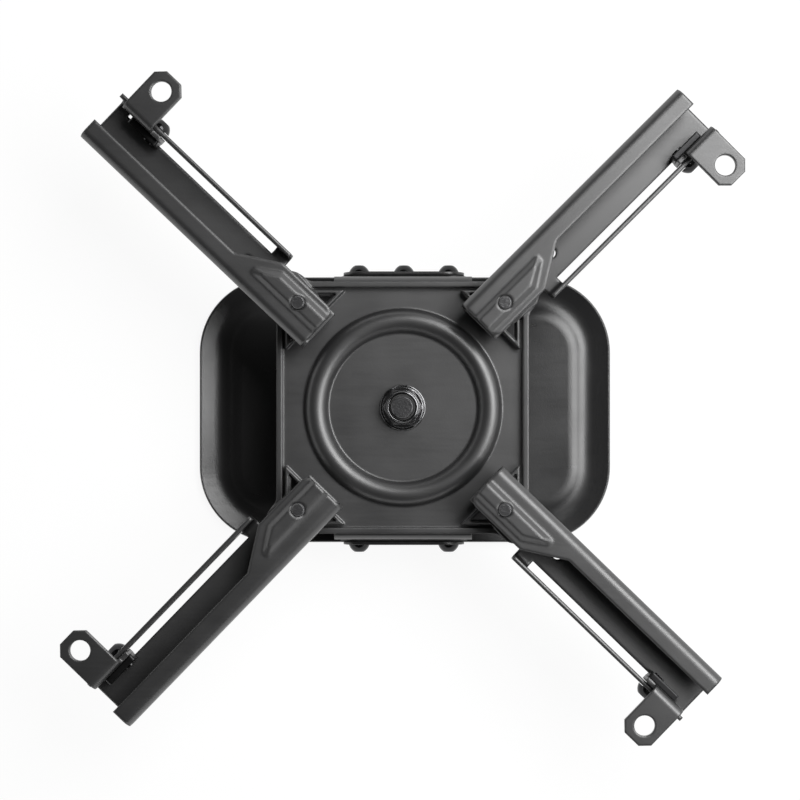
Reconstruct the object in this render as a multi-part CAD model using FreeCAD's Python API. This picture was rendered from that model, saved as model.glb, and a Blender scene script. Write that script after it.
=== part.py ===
"""Flush ceiling mount for a projector, standing on its ceiling plate with the projector side up."""

import FreeCAD, Part
import math
import os

from FreeCAD import Vector

os.makedirs("parts", exist_ok=True)

# Driving dimensions, in millimetres and degrees.

# Sheet thickness of each folded or pressed piece
plate_sheet = 1.5
bracket_sheet = 1.8
pan_sheet = 2.0
arm_sheet = 2.0
foot_sheet = 2.2

# Clearances
face_gap = 0.2
slide_gap = 0.3
pivot_gap = 0.08
thread_gap = 0.05
hole_gap = 0.3

# Ceiling plate
plate_length = 192.4
plate_depth = 124.0
plate_corner = 35.0
rim_valley = 10.2
rim_slope = 19.5
rim_bend = 12.0
middle_inset = 17.5
ceiling_spacing_x = 76.0
ceiling_spacing_y = 56.0
ceiling_hole_radius = 3.25
well_floor_radius = 7.0
well_mouth_radius = 10.0

# Ears and tilt
ear_width = 55.2
ear_corner = 9.0
ear_bend = 2.25
ear_above_axis = 11.0
tilt_axis_height = 24.0
tilt_limit = 15.0
lock_screw_radius = 20.5

# Tilt bracket
bracket_width = 62.0
bracket_rise = 18.5
bracket_drop = 9.0
bracket_bend = 2.9
bracket_corner = 8.0
friction_plate_width = 58.0
friction_plate_height = 19.0
friction_plate_sheet = 1.0

# Button-head screws of the tilt and the feet
screw_radius = 2.5
screw_head_radius = 4.8
screw_head_height = 3.4
screw_dome_round = 5.5
screw_crown_radius = 2.2
screw_socket_flats = 3.0
screw_socket_depth = 1.6
screw_nut_flats = 8.0
screw_nut_height = 4.0
pin_head_radius = 4.2
pin_head_height = 1.5
screw_end = 0.6

# Swivel bolt, nut and washer
swivel_bolt_radius = 5.0
swivel_bolt_flats = 17.0
swivel_bolt_head = 6.4
swivel_bolt_proud = 1.6
bolt_chamfer = 1.0
swivel_nut_flats = 15.0
swivel_nut_flange_radius = 10.3
swivel_nut_flange_edge = 1.0
swivel_nut_flange_slope = 25.0
swivel_nut_hex = 6.6
swivel_nut_collar = 3.0
swivel_nut_collar_radius = 7.1
swivel_nut_lip = 0.6
swivel_washer_radius = 25.0
swivel_washer_sheet = 1.3

# Swivel plate
pan_width = 112.4
pan_wall = 6.0
pan_rim = 2.6
pan_flare = 5.4
tongue_half_width = 10.0
tongue_reach = 18.0
bead_inner_radius = 33.0
bead_outer_radius = 44.6
bead_height = 4.0
bead_bend = 0.4
pad_rise = 6.0
pad_diagonal = 8.5
pad_valley = 4.3
pad_waist = 9.0
window_border = 1.2
window_inner = 8.2
window_corner = 0.5

# Arms
pivot_edge = 11.2
pivot_square = pan_width - 2 * pivot_edge
arm_swings = (0.0, 1.4, 0.9, 1.0)
arm_length = 133.0
arm_inner_reach = 13.7
arm_left_reach = 12.95
arm_width = 26.4
arm_depth = 16.0
arm_bend = 3.0
arm_flange = 9.7
arm_pad_width = 21.0
arm_pad_length = 30.5
arm_pad_taper_end = 49.0
arm_pad_corner = 4.0
arm_web_width = 20.8
rail_height = 12.0
rail_start = 31.0
rail_slot_start = 39.0
rail_end_web = 6.0
rail_screw_height = 7.0
web_hole_radius = 2.4
web_hole_reach = 44.7
web_hole_offset = 10.9
emboss_left = 8.0
emboss_right = 18.0
emboss_length = 28.0
emboss_tip = 38.5
emboss_tip_width = 3.0
emboss_height = 2.2
emboss_slope = 2.4
emboss_round = 1.6

# Arm pivots
pivot_bolt_radius = 3.0
pivot_bolt_flats = 10.0
pivot_bolt_head = 4.0
pivot_bolt_proud = 0.8
pivot_bolt_chamfer = 0.6
spacer_radius = 6.5
arm_washer_radius = 9.0
arm_washer_sheet = 0.8

# Feet
foot_width = 16.0
foot_reach = 46.4
foot_end_inset = 10.0
foot_slides = (0.0, 3.5, 0.0, 1.0)
foot_top = 20.0
foot_bend = 2.2
foot_hole_radius = 4.5
foot_hole_reach = 38.3
foot_chamfer = 3.9
foot_leg_extra = 4.4
foot_leg_bottom = 2.6
foot_leg_shoulder = 14.0
foot_travel = 70.0
clamp_length = 16.0
clamp_sheet = 3.0
clamp_bottom = 2.6
clamp_top = 11.4
clamp_corner = 1.0

# Heights and faces that follow from the driving dimensions
rim_rise = math.tan(math.radians(rim_slope))
valley_corner = plate_sheet / 2 - rim_bend * (1 / math.cos(math.radians(rim_slope)) - 1)
rim_straight = rim_valley - rim_bend * math.sin(math.radians(rim_slope))
middle_height = valley_corner + (middle_inset - rim_valley) * rim_rise
middle_bottom = middle_height - plate_sheet / 2
middle_top = middle_height + plate_sheet / 2
flat_inset = middle_inset + rim_bend * math.sin(math.radians(rim_slope)) + plate_sheet
ear_inner_face = plate_depth / 2 - plate_sheet
leg_outer_face = ear_inner_face - face_gap - friction_plate_sheet
leg_inner_face = leg_outer_face - bracket_sheet
bracket_top = tilt_axis_height + bracket_rise
pan_bottom = bracket_top + swivel_washer_sheet + face_gap
pan_top = pan_bottom + pan_sheet
pad_top = pan_top + pad_rise
arm_bottom = pad_top + face_gap + arm_washer_sheet
pad_top_of_arm = arm_bottom + arm_depth + emboss_height
rail_inner_face = arm_left_reach - arm_width + arm_sheet
leg_face = rail_inner_face + slide_gap
clamp_face = leg_face + foot_sheet
rail_slot_end = arm_length - rail_end_web
foot_center = arm_length - foot_end_inset
foot_screw_reach = foot_center - foot_width / 2

AXIS_X = Vector(1, 0, 0)
AXIS_Y = Vector(0, 1, 0)
AXIS_Z = Vector(0, 0, 1)
ORIGIN = Vector(0, 0, 0)
SPARE = 5.0
CORNERS = 4
QUARTER_TURN = 90.0
FIRST_CORNER = 45.0


def line(start, end):
    return Part.LineSegment(start, end).toShape()


def arc(start, middle, end):
    return Part.Arc(start, middle, end).toShape()


def rounded_edges(points, radii, closed):
    """Straight lines through the points, with an arc of the given radius at each corner."""
    count = len(points)
    entries = []
    exits = []
    edges = []
    for index, point in enumerate(points):
        radius = radii[index]
        at_end = not closed and index in (0, count - 1)
        if at_end or radius == 0:
            entries.append(point)
            exits.append(point)
            continue
        before = (point - points[index - 1]).normalize()
        after = (points[(index + 1) % count] - point).normalize()
        half_turn = before.getAngle(after) / 2
        setback = radius * math.tan(half_turn)
        inward = (after - before).normalize()
        crown = point + inward * (radius / math.cos(half_turn) - radius)
        entries.append(point - before * setback)
        exits.append(point + after * setback)
        edges.append(arc(entries[-1], crown, exits[-1]))
    for index in range(count if closed else count - 1):
        edges.append(line(exits[index], entries[(index + 1) % count]))
    return edges


def rounded_polygon(points, radius):
    """Closed outline with every corner rounded alike."""
    edges = rounded_edges(points, [radius] * len(points), True)
    return Part.Wire(Part.__sortEdges__(edges))


def sheet_section(points, bend, sheet):
    """End view of a folded sheet in the YZ plane, from the corners of its middle line."""
    edges = []
    ends = []
    for offset in (sheet / 2, -sheet / 2):
        shifted = []
        radii = []
        for index, point in enumerate(points):
            normals = []
            if index > 0:
                before = (point - points[index - 1]).normalize()
                normals.append(AXIS_X.cross(before))
            if index < len(points) - 1:
                after = (points[index + 1] - point).normalize()
                normals.append(AXIS_X.cross(after))
            if len(normals) == 1:
                shifted.append(point + normals[0] * offset)
                radii.append(0)
                continue
            miter = (normals[0] + normals[1]) * (1 / (1 + normals[0].dot(normals[1])))
            turn = 1 if before.cross(after).dot(AXIS_X) > 0 else -1
            shifted.append(point + miter * offset)
            radii.append(bend - turn * offset)
        edges += rounded_edges(shifted, radii, False)
        ends.append((shifted[0], shifted[-1]))
    edges.append(line(ends[0][0], ends[1][0]))
    edges.append(line(ends[0][1], ends[1][1]))
    return Part.Face(Part.Wire(Part.__sortEdges__(edges)))


def folded_sheet(points, bend, sheet, start, end):
    """Folded sheet that runs along X from start to end."""
    section = sheet_section([Vector(start, y, z) for y, z in points], bend, sheet)
    return section.extrude(AXIS_X * (end - start))


def box(x_range, y_range, z_range):
    corner = Vector(x_range[0], y_range[0], z_range[0])
    sizes = [high - low for low, high in (x_range, y_range, z_range)]
    return Part.makeBox(*sizes, corner)


def cylinder(radius, bottom, top, x=0.0, y=0.0):
    return Part.makeCylinder(radius, top - bottom, Vector(x, y, bottom))


def prism(points, bottom, top, radius=0.0):
    """Upright prism over a plan outline, with its corners rounded if a radius is given."""
    corners = [Vector(x, y, bottom) for x, y in points]
    return Part.Face(rounded_polygon(corners, radius)).extrude(AXIS_Z * (top - bottom))


def slot_along_x(start, end, half_width, bottom, top, y):
    """Upright prism with round ends, between two centres on a line along X."""
    middle = box((start, end), (y - half_width, y + half_width), (bottom, top))
    ends = [cylinder(half_width, bottom, top, x, y) for x in (start, end)]
    return middle.fuse(ends).removeSplitter()


def hexagon(flats, bottom, top):
    corner = flats / math.sqrt(3)
    angles = [math.radians(60 * step) for step in range(6)]
    return prism([(corner * math.cos(a), corner * math.sin(a)) for a in angles], bottom, top)


def tube(inner, outer, bottom, top):
    return cylinder(outer, bottom, top).cut(cylinder(inner, bottom - SPARE, top + SPARE))


def turned(points):
    """Solid of revolution about Z, from a closed outline of radius and height."""
    corners = [Vector(r, 0, z) for r, z in points]
    return Part.Face(Part.makePolygon(corners + corners[:1])).revolve(ORIGIN, AXIS_Z, 360)


def shank(radius, bottom, top, chamfer):
    """Round shank whose upper end is chamfered."""
    outline = [(0, bottom), (radius, bottom), (radius, top - chamfer), (radius - chamfer, top), (0, top)]
    return turned(outline)


def aimed(shape, position, direction):
    """Copy of a piece drawn along Z, turned to a direction and moved to a position."""
    copy = shape.copy()
    copy.Placement = FreeCAD.Placement(position, FreeCAD.Rotation(AXIS_Z, direction))
    return copy


def button_screw(length):
    """Button-head socket screw along Z, its seat at zero and its shank below."""
    seat = Vector(screw_head_radius, 0, 0)
    crown_edge = Vector(screw_crown_radius, 0, screw_head_height)
    crown = Vector(0, 0, screw_head_height)
    half_chord = (seat - crown_edge).Length / 2
    rise = screw_dome_round - math.sqrt(screw_dome_round ** 2 - half_chord ** 2)
    outward = (seat - crown_edge).cross(AXIS_Y).normalize()
    flank = (seat + crown_edge) * 0.5 + outward * rise
    edges = [
        line(ORIGIN, seat),
        arc(seat, flank, crown_edge),
        line(crown_edge, crown),
        line(crown, ORIGIN),
    ]
    head = Part.Face(Part.Wire(edges)).revolve(ORIGIN, AXIS_Z, 360)
    socket = hexagon(screw_socket_flats, screw_head_height - screw_socket_depth, screw_head_height + SPARE)
    return head.cut(socket).fuse(cylinder(screw_radius, -length, 0)).removeSplitter()


def screw_nut():
    """Hex nut along Z that starts at zero."""
    bore = cylinder(screw_radius + thread_gap, -SPARE, screw_nut_height + SPARE)
    return hexagon(screw_nut_flats, 0, screw_nut_height).cut(bore)


def ear_outline(width, bottom, top, radius):
    """Plate outline that stands in the XZ plane, as a prism through both ears."""
    half = width / 2
    corners = [(-half, bottom), (half, bottom), (half, top), (-half, top)]
    wire = rounded_polygon([Vector(x, -plate_depth, z) for x, z in corners], radius)
    return Part.Face(wire).extrude(AXIS_Y * 2 * plate_depth)


def across_ears(radius, x=0.0):
    """Round bar along Y through both ears, at the height of the tilt axis."""
    start = Vector(x, -plate_depth, tilt_axis_height)
    return Part.makeCylinder(radius, 2 * plate_depth, start, AXIS_Y)


def lock_slot(side):
    """Arc slot about the tilt axis, through both ears, that a lock screw travels in."""
    half_width = screw_radius + hole_gap
    center = Vector(0, -plate_depth, tilt_axis_height)
    limit = math.radians(tilt_limit)

    def at(radius, angle):
        return center + Vector(side * radius * math.cos(angle), 0, radius * math.sin(angle))

    outer = lock_screw_radius + half_width
    inner = lock_screw_radius - half_width
    overhang = half_width / lock_screw_radius
    edges = [
        arc(at(outer, -limit), at(outer, 0), at(outer, limit)),
        arc(at(outer, limit), at(lock_screw_radius, limit + overhang), at(inner, limit)),
        arc(at(inner, limit), at(inner, 0), at(inner, -limit)),
        arc(at(inner, -limit), at(lock_screw_radius, -limit - overhang), at(outer, -limit)),
    ]
    return Part.Face(Part.Wire(edges)).extrude(AXIS_Y * 2 * plate_depth)


def plate_outline(inset, height):
    """Rounded rectangle that lies inside the ceiling plate's edge."""
    half_x = plate_length / 2 - inset
    half_y = plate_depth / 2 - inset
    corners = [(-half_x, -half_y), (half_x, -half_y), (half_x, half_y), (-half_x, half_y)]
    return rounded_polygon([Vector(x, y, height) for x, y in corners], plate_corner - inset)


def lip_height(inset):
    """Height of the rim's middle line at an inset between the plate's edge and its valley."""
    return valley_corner + (rim_valley - inset) * rim_rise


def rim_section():
    """Section of the pressed rim at the right-hand edge: a lip, a valley and a rise to the flat middle."""
    path = [
        (0, lip_height(0)),
        (rim_valley, valley_corner),
        (middle_inset, middle_height),
        (flat_inset, middle_height),
    ]
    points = [Vector(0, plate_length / 2 - inset, height) for inset, height in path]
    section = sheet_section(points, rim_bend, plate_sheet)
    section.rotate(ORIGIN, AXIS_Z, -QUARTER_TURN)
    return section


def pressed_rim():
    """Rim swept round the plate: a quarter turn at each corner and a run on each side."""
    section = rim_section()
    reach_x = plate_length / 2 - plate_corner
    reach_y = plate_depth / 2 - plate_corner
    side_move = Vector(0, -reach_y, 0)
    side_run = section.translated(side_move).extrude(AXIS_Y * 2 * reach_y)
    corner_turn = section.translated(Vector(0, reach_y, 0))
    corner_turn = corner_turn.revolve(Vector(reach_x, reach_y, 0), AXIS_Z, QUARTER_TURN)
    top_section = section.translated(Vector(0, reach_y, 0))
    top_section.rotate(Vector(reach_x, reach_y, 0), AXIS_Z, QUARTER_TURN)
    top_run = top_section.extrude(AXIS_X * -2 * reach_x)
    pieces = []
    for turn in (0, 180):
        for piece in (side_run, top_run):
            copy = piece.copy()
            copy.rotate(ORIGIN, AXIS_Z, turn)
            pieces.append(copy)
        corner = corner_turn.copy()
        corner.rotate(ORIGIN, AXIS_Z, turn)
        pieces.append(corner)
        pieces.append(corner.mirror(ORIGIN, AXIS_X))
    return pieces


def ceiling_plate():
    """Pressed plate with a raised middle, screw wells and two ears turned up from its long edges."""
    middle = Part.Face(plate_outline(flat_inset, middle_bottom)).extrude(AXIS_Z * plate_sheet)
    wells = []
    mouths = []
    for x in (-ceiling_spacing_x / 2, ceiling_spacing_x / 2):
        for y in (-ceiling_spacing_y / 2, ceiling_spacing_y / 2):
            wells.append(screw_well().translated(Vector(x, y, 0)))
            mouths.append(cylinder(well_mouth_radius, middle_bottom - SPARE, middle_top + SPARE, x, y))
    ear_middle = plate_depth / 2 - plate_sheet / 2
    ear_top = tilt_axis_height + ear_above_axis
    ears = []
    for side in (-1, 1):
        path = [
            (side * (plate_depth / 2 - rim_straight), lip_height(rim_straight)),
            (side * ear_middle, lip_height(plate_sheet / 2)),
            (side * ear_middle, ear_top),
        ]
        ears.append(folded_sheet(path, ear_bend, plate_sheet, -ear_width / 2, ear_width / 2))
    outline = ear_outline(ear_width, -ear_top, ear_top, ear_corner)
    ears = [ear.common(outline) for ear in ears]
    pressed = middle.cut(mouths).fuse(pressed_rim() + wells + ears)
    openings = [across_ears(screw_radius + pivot_gap), lock_slot(-1), lock_slot(1)]
    return pressed.cut(openings).removeSplitter()


def screw_well():
    """Round well pressed down to the ceiling, with a screw hole in its floor."""
    outline = [
        (ceiling_hole_radius, 0),
        (well_floor_radius, 0),
        (well_mouth_radius, middle_bottom),
        (well_mouth_radius, middle_top),
        (well_floor_radius - plate_sheet, plate_sheet),
        (ceiling_hole_radius, plate_sheet),
    ]
    return turned(outline)


def tilt_bracket():
    """U-shaped bracket whose legs hang between the ears."""
    leg_middle = leg_outer_face - bracket_sheet / 2
    bottom = tilt_axis_height - bracket_drop
    base_middle = bracket_top - bracket_sheet / 2
    path = [
        (-leg_middle, bottom),
        (-leg_middle, base_middle),
        (leg_middle, base_middle),
        (leg_middle, bottom),
    ]
    half = bracket_width / 2
    folded = folded_sheet(path, bracket_bend, bracket_sheet, -half, half)
    folded = folded.common(ear_outline(bracket_width, bottom, 2 * bracket_top, bracket_corner))
    holes = [across_ears(screw_radius + thread_gap, x) for x in (-lock_screw_radius, 0, lock_screw_radius)]
    holes.append(cylinder(swivel_bolt_radius + thread_gap, 0, bracket_top + SPARE))
    return folded.cut(holes)


def tilt_friction_plates():
    """Nylon plates between the bracket's legs and the ears."""
    half_height = friction_plate_height / 2
    bottom = tilt_axis_height - half_height
    top = tilt_axis_height + half_height
    outline = ear_outline(friction_plate_width, bottom, top, bracket_corner)
    holes = [across_ears(screw_radius + thread_gap, x) for x in (-lock_screw_radius, 0, lock_screw_radius)]
    half = friction_plate_width / 2
    plates = []
    for low in (leg_outer_face, -leg_outer_face - friction_plate_sheet):
        sheet = box((-half, half), (low, low + friction_plate_sheet), (bottom, top))
        plates.append(sheet.common(outline).cut(holes))
    return Part.makeCompound(plates)


def tilt_screw(x, side):
    """Screw through an ear and a leg into the nut behind it."""
    seat = plate_depth / 2 + face_gap
    length = seat - leg_inner_face + screw_nut_height + screw_end
    return aimed(button_screw(length), Vector(x, side * seat, tilt_axis_height), AXIS_Y * side)


def tilt_nut(x, side):
    """Nut against the inside of a leg."""
    return aimed(screw_nut(), Vector(x, side * leg_inner_face, tilt_axis_height), AXIS_Y * -side)


def tilt_lock_screws():
    places = [(x, side) for x in (-lock_screw_radius, lock_screw_radius) for side in (-1, 1)]
    return Part.makeCompound([tilt_screw(x, side) for x, side in places])


def tilt_nuts():
    places = [(x, side) for x in (-lock_screw_radius, lock_screw_radius) for side in (-1, 1)]
    return Part.makeCompound([tilt_nut(x, side) for x, side in places + [(0, 1)]])


def tilt_pivot_pin():
    """Pin that ends flush with the ear, with its head inside the leg."""
    length = plate_depth / 2 - leg_inner_face
    pin = cylinder(screw_radius, 0, length).fuse(cylinder(pin_head_radius, -pin_head_height, 0))
    return aimed(pin.removeSplitter(), Vector(0, -leg_inner_face, tilt_axis_height), -AXIS_Y)


def swivel_bolt():
    """Hex bolt from under the bracket up through the swivel plate."""
    seat = bracket_top - bracket_sheet
    top = pan_top + face_gap + swivel_nut_hex + swivel_nut_collar + swivel_bolt_proud
    head = hexagon(swivel_bolt_flats, seat - swivel_bolt_head, seat)
    return head.fuse(shank(swivel_bolt_radius, seat, top, bolt_chamfer)).removeSplitter()


def swivel_friction_washer():
    """Nylon washer between the bracket and the swivel plate."""
    top = bracket_top + swivel_washer_sheet
    return tube(swivel_bolt_radius + thread_gap, swivel_washer_radius, bracket_top, top)


def swivel_nut():
    """Flanged lock nut: a chamfered hexagon and a round collar that holds the insert ring."""
    bottom = pan_top + face_gap
    hex_top = bottom + swivel_nut_hex
    collar_top = hex_top + swivel_nut_collar
    corner = swivel_nut_flats / math.sqrt(3)
    flat = swivel_nut_flats / 2
    drop = (corner - flat) * math.tan(math.radians(30))
    envelope = turned([
        (0, bottom),
        (flat, bottom),
        (corner, bottom + drop),
        (corner, hex_top - drop),
        (flat, hex_top),
        (swivel_nut_collar_radius, hex_top),
        (swivel_nut_collar_radius, collar_top - swivel_nut_lip),
        (swivel_nut_collar_radius - swivel_nut_lip, collar_top),
        (0, collar_top),
    ])
    collar = cylinder(swivel_nut_collar_radius, hex_top, collar_top)
    blank = hexagon(swivel_nut_flats, bottom, hex_top).fuse(collar)
    flange_rise = (swivel_nut_flange_radius - flat) * math.tan(math.radians(swivel_nut_flange_slope))
    flange = turned([
        (0, bottom),
        (swivel_nut_flange_radius, bottom),
        (swivel_nut_flange_radius, bottom + swivel_nut_flange_edge),
        (flat, bottom + swivel_nut_flange_edge + flange_rise),
        (0, bottom + swivel_nut_flange_edge + flange_rise),
    ])
    bore = cylinder(swivel_bolt_radius + thread_gap, bottom - SPARE, hex_top + SPARE)
    seat_radius = swivel_nut_collar_radius - swivel_nut_lip
    mouth = (seat_radius + swivel_bolt_radius) / 2
    pocket = turned([
        (0, hex_top),
        (seat_radius, hex_top),
        (seat_radius, collar_top - swivel_nut_lip),
        (mouth, collar_top - swivel_nut_lip / 2),
        (mouth, collar_top + SPARE),
        (0, collar_top + SPARE),
    ])
    return blank.common(envelope).fuse(flange).cut([bore, pocket]).removeSplitter()


def swivel_nut_insert():
    """Nylon ring inside the nut's collar."""
    bottom = pan_top + face_gap + swivel_nut_hex
    top = bottom + swivel_nut_collar - swivel_nut_lip
    outer = swivel_nut_collar_radius - swivel_nut_lip - thread_gap
    return tube(swivel_bolt_radius + thread_gap, outer, bottom, top)


def at_corner(shape, index, swing=0.0):
    """Copy of a shape drawn about an arm's pivot, with the arm along X, at one of the corners."""
    angle = FIRST_CORNER + QUARTER_TURN * index
    radius = pivot_square / math.sqrt(2)
    heading = math.radians(angle)
    copy = shape.copy()
    copy.rotate(ORIGIN, AXIS_Z, angle + swing)
    copy.translate(Vector(radius * math.cos(heading), radius * math.sin(heading), 0))
    return copy


def at_corners(shape):
    """Copies of a shape at all four corners of the swivel plate."""
    return [at_corner(shape, index) for index in range(CORNERS)]


def pan_outline(inset):
    """Outline inside the swivel plate's edge: a square with a flared tongue at each corner."""
    half = pan_width / 2 - inset
    top = pan_bottom + pan_wall
    square = box((-half, half), (-half, half), (pan_bottom, top))
    end = tongue_reach - tongue_half_width
    tongue = slot_along_x(0, end, tongue_half_width - inset, pan_bottom, top, 0)
    blank = square.fuse(at_corners(tongue)).removeSplitter()
    inner_corners = []
    for edge in blank.Edges:
        first, last = edge.Vertexes[0].Point, edge.Vertexes[-1].Point
        upright = abs(first.z - last.z) > pan_wall / 2
        on_side = abs(max(abs(first.x), abs(first.y)) - half) < thread_gap
        if upright and on_side:
            inner_corners.append(edge)
    blank = blank.makeFillet(pan_flare + inset, inner_corners)
    bottom_face = min(blank.Faces, key=lambda face: face.CenterOfMass.z)
    return bottom_face.OuterWire


def pan_blank(outline, top):
    """Upright prism over an outline, from the swivel plate's back to a height."""
    return Part.Face(outline).extrude(AXIS_Z * (top - pan_bottom))


def pad_plan(inset):
    """Plan of a corner pad about the arm's pivot: a triangle that runs out into the tongue."""
    side_reach = (pan_width / 2 - pivot_square / 2 - pad_valley) * math.sqrt(2)
    points = [
        (-pad_diagonal, -side_reach - pad_diagonal),
        (side_reach - pad_waist, -pad_waist),
        (tongue_reach + SPARE, -tongue_half_width),
        (tongue_reach + SPARE, tongue_half_width),
        (side_reach - pad_waist, pad_waist),
        (-pad_diagonal, side_reach + pad_diagonal),
    ]
    corners = [Vector(x, y, pan_bottom) for x, y in points]
    wire = Part.makePolygon(corners + corners[:1])
    if inset:
        wire = wire.makeOffset2D(-inset)
    return Part.Face(wire)


def swivel_plate():
    """Pressed pan with an upturned rim, a round bead and four raised corner pads."""
    outline = pan_outline(0)
    inner_outline = pan_outline(pan_rim)
    rim_top = pan_bottom + pan_wall
    hollow_top = pad_top - pan_sheet
    floor = pan_blank(outline, pan_top)
    rim = pan_blank(outline, rim_top).cut(pan_blank(inner_outline, rim_top))
    tall_blank = pan_blank(outline, pad_top)
    hollow_blank = pan_blank(inner_outline, hollow_top)
    pad = pad_plan(0).extrude(AXIS_Z * (pad_top - pan_bottom))
    pads = [piece.common(tall_blank) for piece in at_corners(pad)]
    hollow = pad_plan(pan_sheet).extrude(AXIS_Z * (hollow_top - pan_bottom))
    hollows = [piece.common(hollow_blank) for piece in at_corners(hollow)]
    bead_room = tube(bead_inner_radius, bead_outer_radius, pan_bottom - SPARE, pan_top + SPARE)
    pan = floor.cut(bead_room).fuse([rim, bead()] + pads)
    pivot_hole = cylinder(pivot_bolt_radius + pivot_gap, pan_bottom - SPARE, pad_top + SPARE)
    swivel_hole = cylinder(swivel_bolt_radius + pivot_gap, pan_bottom - SPARE, pan_top + SPARE)
    windows = [window for pair in at_corners(pad_windows()) for window in pair.Solids]
    return pan.cut(hollows + at_corners(pivot_hole) + windows + [swivel_hole]).removeSplitter()


def pad_windows():
    """Three-sided windows on both sides of an arm's pivot, through the top of its corner pad."""
    side_reach = (pan_width / 2 - pivot_square / 2 - pad_valley) * math.sqrt(2)
    near = window_border - pad_diagonal
    slant = side_reach - window_border * math.sqrt(2)
    windows = []
    for side in (-1, 1):
        points = [
            (near, side * window_inner),
            (slant - window_inner, side * window_inner),
            (near, side * (slant - near)),
        ]
        windows.append(prism(points[::side], pad_top - pan_sheet, pad_top + SPARE, window_corner))
    return Part.makeCompound(windows)


def bead():
    """Round bead pressed up from the floor of the pan, with a bend at each foot."""
    middle = (bead_inner_radius + bead_outer_radius) / 2
    half = (bead_outer_radius - bead_inner_radius) / 2
    radius = (half ** 2 + bead_height ** 2) / (2 * bead_height) - bead_bend
    center = pan_top + bead_height - radius
    under = radius - pan_sheet
    under_half = math.sqrt(under ** 2 - (pan_bottom - center) ** 2)
    foot_rise = pan_top + bead_bend - center
    lean = math.atan2(half, foot_rise)

    def at(offset, height):
        return Vector(middle + offset, 0, height)

    def on_crown(side):
        return at(side * radius * math.sin(lean), center + radius * math.cos(lean))

    def on_foot(side):
        rise = bead_bend * (1 - math.cos(lean / 2))
        return at(side * (half - bead_bend * math.sin(lean / 2)), pan_top + rise)

    edges = [
        arc(at(-half, pan_top), on_foot(-1), on_crown(-1)),
        arc(on_crown(-1), at(0, pan_top + bead_height), on_crown(1)),
        arc(on_crown(1), on_foot(1), at(half, pan_top)),
        line(at(half, pan_top), at(half, pan_bottom)),
        line(at(half, pan_bottom), at(under_half, pan_bottom)),
        arc(at(under_half, pan_bottom), at(0, center + under), at(-under_half, pan_bottom)),
        line(at(-under_half, pan_bottom), at(-half, pan_bottom)),
        line(at(-half, pan_bottom), at(-half, pan_top)),
    ]
    return Part.Face(Part.Wire(edges)).revolve(ORIGIN, AXIS_Z, 360)


def on_arm(reach, offset):
    """Plan point of an arm: distance from its inner end, and from its left face to the right."""
    return (reach - arm_inner_reach, arm_left_reach - offset)


def emboss(bottom):
    """Raised rib of an arm's pad, open at the inner end and pointed at the outer one."""
    wires = []
    for inset, height in ((0, bottom), (emboss_slope, bottom + emboss_height)):
        left = emboss_left + inset
        right = emboss_right - inset
        tip = emboss_tip - 2 * inset
        plan = [
            (-SPARE, left),
            (-SPARE, right),
            (emboss_length - inset / 2, right),
            (tip, left + emboss_tip_width * (1 - inset / emboss_slope / 2)),
            (tip, left),
        ]
        corners = [Vector(*on_arm(reach, offset), height) for reach, offset in plan]
        radii = [0, 0, emboss_round, emboss_round / 2, emboss_round / 2]
        edges = rounded_edges(corners, radii, True)
        wires.append(Part.Wire(Part.__sortEdges__(edges)))
    return Part.makeLoft(wires, True, True)


def arm():
    """Folded channel: a web, a high left wall with a flange and pad, and a low slotted rail."""
    start = -arm_inner_reach
    end = arm_length - arm_inner_reach
    half = arm_sheet / 2
    flange_level = arm_depth - half
    path = [
        (arm_left_reach - arm_pad_width, flange_level),
        (arm_left_reach - half, flange_level),
        (arm_left_reach - half, half),
        (rail_inner_face - half, half),
        (rail_inner_face - half, rail_height),
    ]
    channel = folded_sheet(path, arm_bend, arm_sheet, start, end)
    flange_bottom = arm_depth - arm_sheet
    above_rail = (rail_height + flange_bottom) / 2
    taper = prism([
        on_arm(arm_pad_length, arm_pad_width + SPARE),
        on_arm(arm_pad_length, arm_pad_width),
        on_arm(arm_pad_taper_end, arm_flange),
        on_arm(arm_length + SPARE, arm_flange),
        on_arm(arm_length + SPARE, arm_pad_width + SPARE),
    ], above_rail, arm_depth + SPARE)
    web_edge = arm_left_reach - arm_web_width
    outside = rail_inner_face - arm_sheet - SPARE
    inner_span = (start - SPARE, rail_start - arm_inner_reach)
    inner_end = box(inner_span, (outside, web_edge), (-SPARE, above_rail))
    slot_span = (rail_slot_start - arm_inner_reach, rail_slot_end - arm_inner_reach)
    web_slot = box(slot_span, (rail_inner_face, web_edge), (-SPARE, above_rail))
    hole_at = on_arm(web_hole_reach, web_hole_offset)
    web_hole = cylinder(web_hole_radius, -SPARE, arm_sheet + SPARE, *hole_at)
    pivot_hole = cylinder(pivot_bolt_radius + pivot_gap, -SPARE, arm_depth + SPARE)
    rib = emboss(arm_depth)
    ends = box((start - 2 * SPARE, start), (-arm_width, arm_width), (-SPARE, arm_depth + SPARE))
    cuts = [taper, pad_corner(), inner_end, web_slot, rail_slot(), web_hole]
    body = channel.cut(cuts).fuse(rib).cut([rib.translated(AXIS_Z * -arm_sheet), pivot_hole, ends])
    return body.removeSplitter()


def pad_corner():
    """What a round corner takes off the inner right corner of an arm's pad."""
    x, y = on_arm(0, arm_pad_width)
    radius = arm_pad_corner
    bottom = (rail_height + arm_depth - arm_sheet) / 2
    top = arm_depth + SPARE
    square = box((x - radius, x + radius), (y - radius, y + radius), (bottom, top))
    return square.cut([
        cylinder(radius, bottom, top, x + radius, y + radius),
        box((x + radius, x + 2 * radius), (y - radius, y + 2 * radius), (bottom, top)),
        box((x - radius, x + 2 * radius), (y + radius, y + 2 * radius), (bottom, top)),
    ])


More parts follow.
